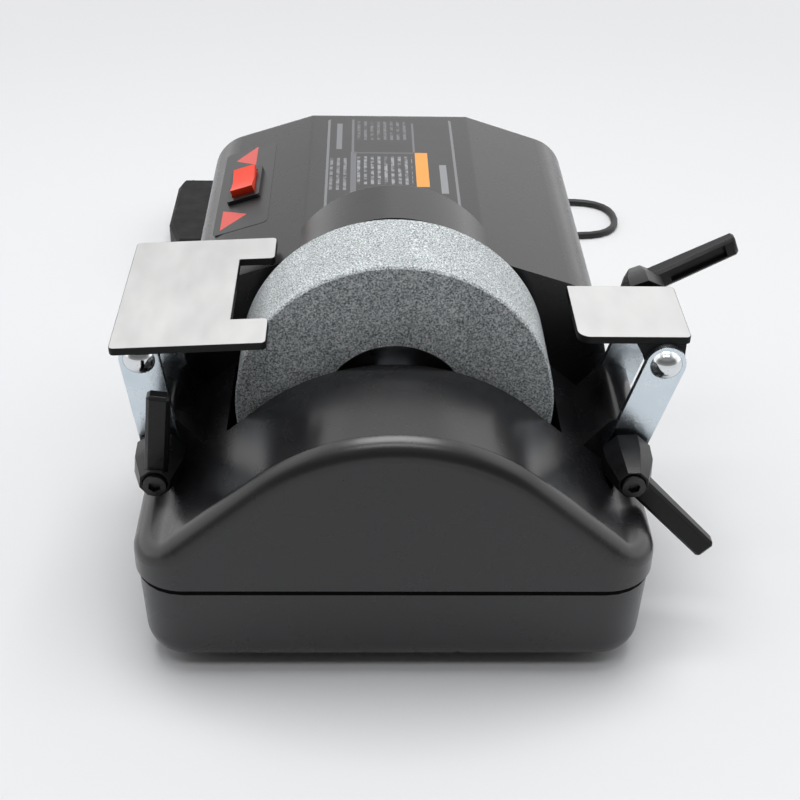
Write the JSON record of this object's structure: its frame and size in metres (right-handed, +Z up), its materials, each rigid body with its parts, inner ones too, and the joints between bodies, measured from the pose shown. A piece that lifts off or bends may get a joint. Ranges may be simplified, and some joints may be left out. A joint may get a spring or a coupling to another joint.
{
  "type": "wet knife sharpener",
  "caption": "Table-top wet knife sharpener with a water-cooled grinding wheel, moulded black housing, swinging steel blade rests on zinc links and clamping levers.",
  "frame": {"origin": "on the table, under the middle of the housing's plan", "axes": "+Z up from the table, +Y from the wheel end to the switch end, +X to the right seen from the wheel end"},
  "size_m": [0.2736, 0.4268, 0.1525],
  "materials": {
    "housing": "fine satin moulded black plastic",
    "rubber": "matte black rubber",
    "trough": "plain moulded plastic",
    "switch_black": "satin black",
    "rocker_red": "semi-gloss red",
    "abrasive": "vitrified silicon carbide grit",
    "steel": "turned steel",
    "gear_brass": "machined brass",
    "plate_alu": "milled aluminium",
    "motor_paint": "black painted steel",
    "copper": "lacquered windings and core",
    "ground_steel": "surface-ground steel",
    "black_paint": "black powder coat",
    "zinc": "bright zinc plate",
    "lever_black": "fine textured black coat",
    "black_oxide": "black oxide steel"
  },
  "bodies": {
    "base": {"upper_housing": "housing", "lower_housing": "housing", "housing_screws": "black_oxide", "rubber_feet": "rubber", "water_trough": "trough", "switch_body": "switch_black", "shaft_seal": "rubber", "front_bearing": "steel", "rear_bearing": "steel", "gear_plate_front": "plate_alu", "gear_plate_rear": "plate_alu", "plate_spacers": "steel", "plate_screws": "black_oxide", "motor_can": "motor_paint", "motor_cap": "motor_paint", "motor_screws": "black_oxide", "right_lower_bolt": "zinc", "left_lower_bolt": "zinc", "strain_relief": "rubber", "lead": "rubber", "lead_coil": "rubber", "coil_tie": "rubber", "plug": "rubber"},
    "wheel": {"grinding_wheel": "abrasive", "spindle": "steel", "inner_flange": "steel", "outer_flange": "steel", "arbor_nut": "zinc", "drive_gear": "gear_brass"},
    "rotor": {"rotor": "copper", "pinion": "gear_brass"},
    "rocker": {"switch_rocker": "rocker_red"},
    "right_link": {"right_link_front": "zinc", "right_link_rear": "zinc", "right_upper_bolt": "zinc"},
    "right_table": {"right_rest": "ground_steel", "right_rest_lug": "black_paint"},
    "left_link": {"left_link_front": "zinc", "left_link_rear": "zinc", "left_upper_bolt": "zinc"},
    "left_table": {"left_rest": "ground_steel", "left_rest_lug": "black_paint"},
    "right_lower_clamp": {"right_lower_insert": "black_oxide", "right_lower_screw": "black_oxide", "right_lower_spring": "steel"},
    "right_lower_lever": {"right_lower_handle": "lever_black"},
    "left_lower_clamp": {"left_lower_insert": "black_oxide", "left_lower_screw": "black_oxide", "left_lower_spring": "steel"},
    "left_lower_lever": {"left_lower_handle": "lever_black"},
    "right_upper_clamp": {"right_upper_insert": "black_oxide", "right_upper_screw": "black_oxide", "right_upper_spring": "steel"},
    "right_upper_lever": {"right_upper_handle": "lever_black"},
    "left_upper_clamp": {"left_upper_insert": "black_oxide", "left_upper_screw": "black_oxide", "left_upper_spring": "steel"},
    "left_upper_lever": {"left_upper_handle": "lever_black"}
  },
  "joints": [
    {"name": "wheel_spin", "type": "hinge", "parent": "base", "child": "wheel", "pos_m": [0, -0.0505, 0.09], "axis": [0, 1, 0], "continuous": true},
    {"name": "rotor_spin", "type": "hinge", "parent": "base", "child": "rotor", "pos_m": [0.03005, 0.06, 0.05995], "axis": [0, 1, 0], "continuous": true},
    {"name": "rocker_tip", "type": "hinge", "parent": "base", "child": "rocker", "pos_m": [-0.06569, 0.062, 0.12079], "axis": [0.9511, 0, 0.309], "range_deg": [-10, 10]},
    {"name": "right_link_swing", "type": "hinge", "parent": "base", "child": "right_link", "pos_m": [0.092, -0.0505, 0.0721], "axis": [0, 1, 0], "range_deg": [-8, 30]},
    {"name": "right_rest_tilt", "type": "hinge", "parent": "right_link", "child": "right_table", "pos_m": [0.10393, -0.0505, 0.11237], "axis": [0, 1, 0], "range_deg": [-30, 30]},
    {"name": "left_link_swing", "type": "hinge", "parent": "base", "child": "left_link", "pos_m": [-0.092, -0.0505, 0.0721], "axis": [0, -1, 0], "range_deg": [0, 35]},
    {"name": "left_rest_tilt", "type": "hinge", "parent": "left_link", "child": "left_table", "pos_m": [-0.0977, -0.0505, 0.11371], "axis": [0, -1, 0], "range_deg": [0, 40]},
    {"name": "right_lower_turn", "type": "hinge", "parent": "base", "child": "right_lower_clamp", "pos_m": [0.092, -0.07365, 0.0721], "axis": [0, -1, 0], "range_deg": [0, 75]},
    {"name": "left_lower_turn", "type": "hinge", "parent": "base", "child": "left_lower_clamp", "pos_m": [-0.092, -0.07365, 0.0721], "axis": [0, -1, 0], "range_deg": [-30, 60]},
    {"name": "right_upper_turn", "type": "hinge", "parent": "right_link", "child": "right_upper_clamp", "pos_m": [0.10393, -0.02735, 0.11237], "axis": [0, -1, 0], "range_deg": [-60, 60]},
    {"name": "left_upper_turn", "type": "hinge", "parent": "left_link", "child": "left_upper_clamp", "pos_m": [-0.0977, -0.02735, 0.11371], "axis": [0, 1, 0], "range_deg": [0, 60]},
    {"name": "right_lower_lift", "type": "slide", "parent": "right_lower_clamp", "child": "right_lower_lever", "axis": [0, -1, 0], "range_m": [0, 0.003], "stiffness_N_per_m": 1500, "springref_m": -0.002, "deforming": ["right_lower_spring"]},
    {"name": "left_lower_lift", "type": "slide", "parent": "left_lower_clamp", "child": "left_lower_lever", "axis": [0, -1, 0], "range_m": [0, 0.003], "stiffness_N_per_m": 1500, "springref_m": -0.002, "deforming": ["left_lower_spring"]},
    {"name": "right_upper_lift", "type": "slide", "parent": "right_upper_clamp", "child": "right_upper_lever", "axis": [0, 1, 0], "range_m": [0, 0.003], "stiffness_N_per_m": 1500, "springref_m": -0.002, "deforming": ["right_upper_spring"]},
    {"name": "left_upper_lift", "type": "slide", "parent": "left_upper_clamp", "child": "left_upper_lever", "axis": [0, 1, 0], "range_m": [0, 0.003], "stiffness_N_per_m": 1500, "springref_m": -0.002, "deforming": ["left_upper_spring"]}
  ],
  "couplings": [
    {"joint": "rotor_spin", "follows": "wheel_spin", "ratio": -4.6667}
  ]
}
